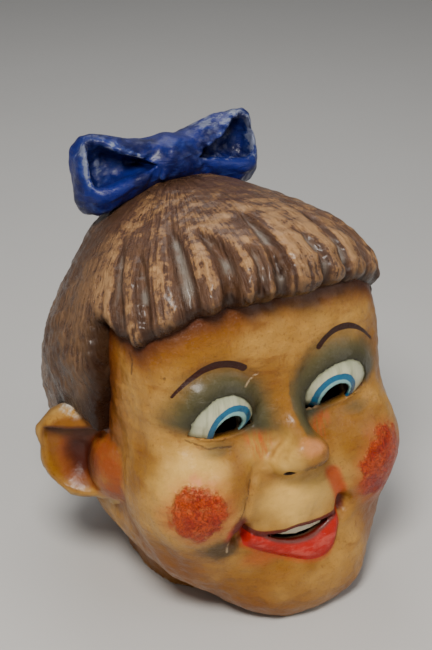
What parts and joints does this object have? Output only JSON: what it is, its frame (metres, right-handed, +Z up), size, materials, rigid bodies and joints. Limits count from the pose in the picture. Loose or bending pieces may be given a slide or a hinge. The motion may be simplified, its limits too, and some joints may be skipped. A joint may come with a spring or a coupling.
{
  "type": "papier-mache carnival head",
  "caption": "Hollow over-the-head papier-mache carnival head of a smiling doll-like girl, with moulded brown hair, jug ears, pierced pupils, open neck and a blue bow on the crown.",
  "frame": {"origin": "middle of the object's bounding box in plan, at the level of the neck rim and chin it stands on", "axes": "+Z up, the face looks along -Y, +X to the head's own left"},
  "size_m": [0.3758, 0.3855, 0.4348],
  "materials": {
    "painted_head": "moulded paper pulp painted by hand, worn, under aged satin varnish",
    "painted_bow": "moulded paper pulp painted ultramarine, scuffed pale at the edges"
  },
  "bodies": {
    "root": {"papier_mache_head": "painted_head", "hair_bow": "painted_bow"}
  },
  "joints": []
}
